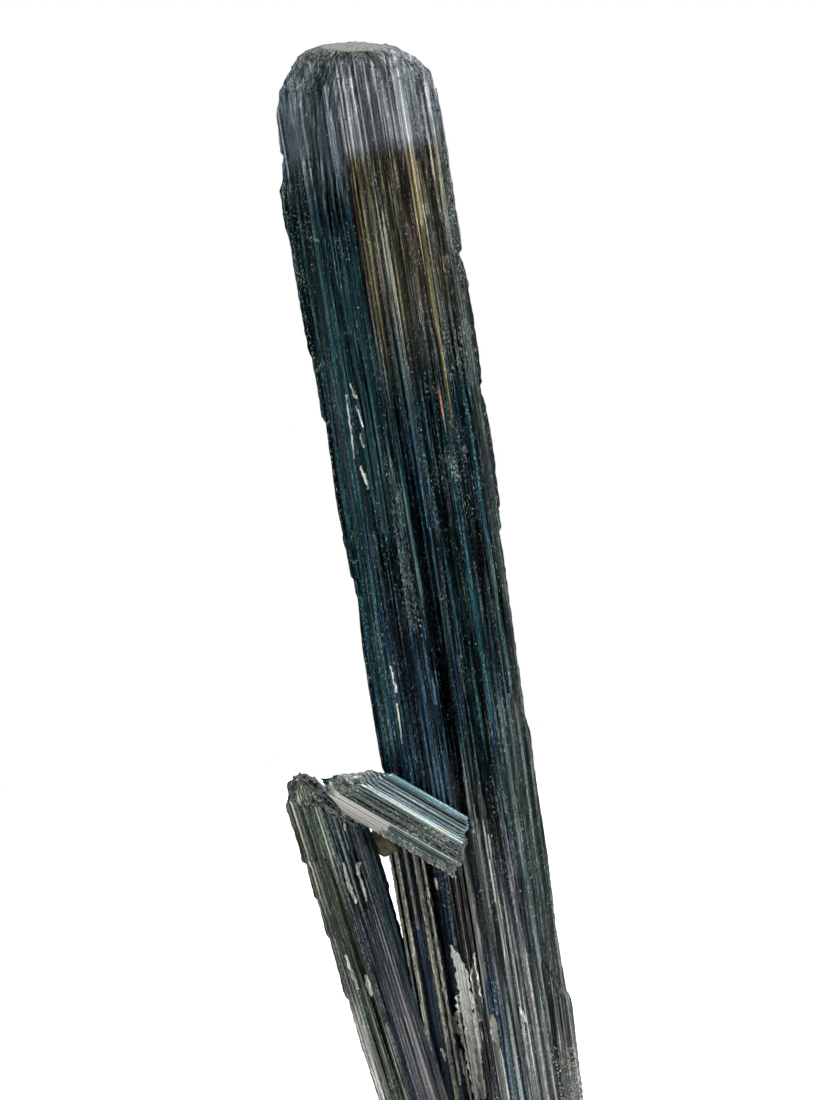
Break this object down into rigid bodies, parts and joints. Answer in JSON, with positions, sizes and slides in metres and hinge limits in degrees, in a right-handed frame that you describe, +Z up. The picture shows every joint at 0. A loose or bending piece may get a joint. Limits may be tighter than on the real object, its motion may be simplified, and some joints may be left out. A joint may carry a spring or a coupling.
{
  "type": "stibnite crystal cluster",
  "caption": "Dark metallic mineral cluster: a tall leaning fluted crystal with a rounded top, a shorter one beside it and a small blade across the front, cut flat at the foot.",
  "frame": {"origin": "middle of the flat cut that the cluster rests on", "axes": "+Z up from the cut, along the cluster's height; +X to the right of the front; the front looks towards -Y"},
  "size_m": [0.0463, 0.0351, 0.1604],
  "materials": {
    "stibnite": "metallic, lengthwise striated, blue-green and bronze tarnish with frosted grey ends",
    "calcite": "tan, slightly translucent, etched"
  },
  "bodies": {
    "root": {"stibnite_crystals": "stibnite", "calcite_grain": "calcite"}
  },
  "joints": []
}
